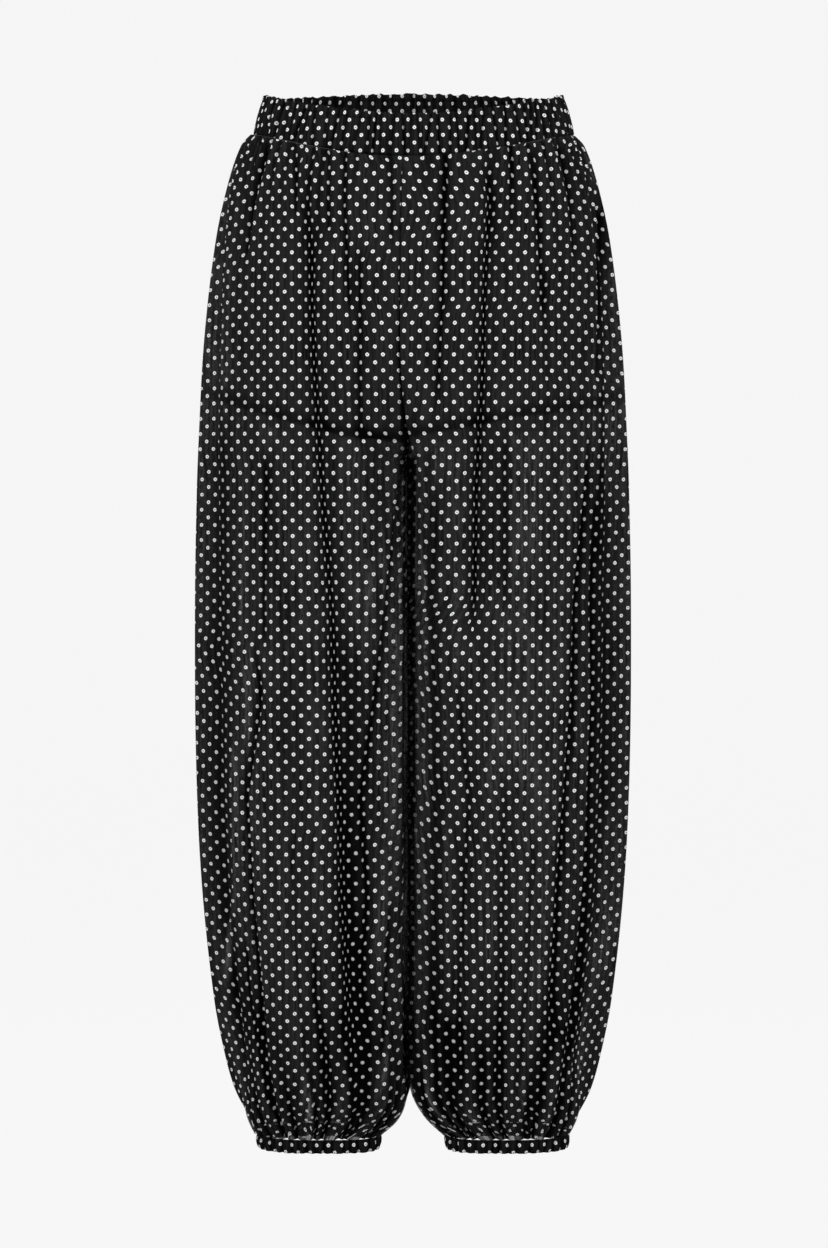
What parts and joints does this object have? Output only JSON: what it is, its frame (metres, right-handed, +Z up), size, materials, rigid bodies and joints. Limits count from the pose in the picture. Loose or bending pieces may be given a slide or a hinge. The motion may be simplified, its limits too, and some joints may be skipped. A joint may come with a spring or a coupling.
{
  "type": "balloon trousers",
  "caption": "Full-length balloon trousers of sheer dotted chiffon over a short lining, gathered into an elastic waistband and narrow elastic ankle cuffs, open and hollow as worn.",
  "frame": {"origin": "centre of the waist, level with the middle of the waistband at the side seams", "axes": "+Z up along the body, -Y to the front, +X to the wearer's left"},
  "size_m": [0.4204, 0.2856, 1.0215],
  "materials": {
    "chiffon": "sheer crinkled black chiffon with a white polka dot",
    "lining": "plain black woven lining",
    "waistband": "black dotted chiffon gathered over elastic",
    "cuff": "black dotted chiffon gathered over elastic"
  },
  "bodies": {
    "root": {"waistband": "waistband", "left_leg_front": "chiffon", "left_leg_back": "chiffon", "right_leg_front": "chiffon", "right_leg_back": "chiffon", "left_cuff": "cuff", "right_cuff": "cuff", "lining_left_front": "lining", "lining_left_back": "lining", "lining_right_front": "lining", "lining_right_back": "lining"}
  },
  "joints": []
}
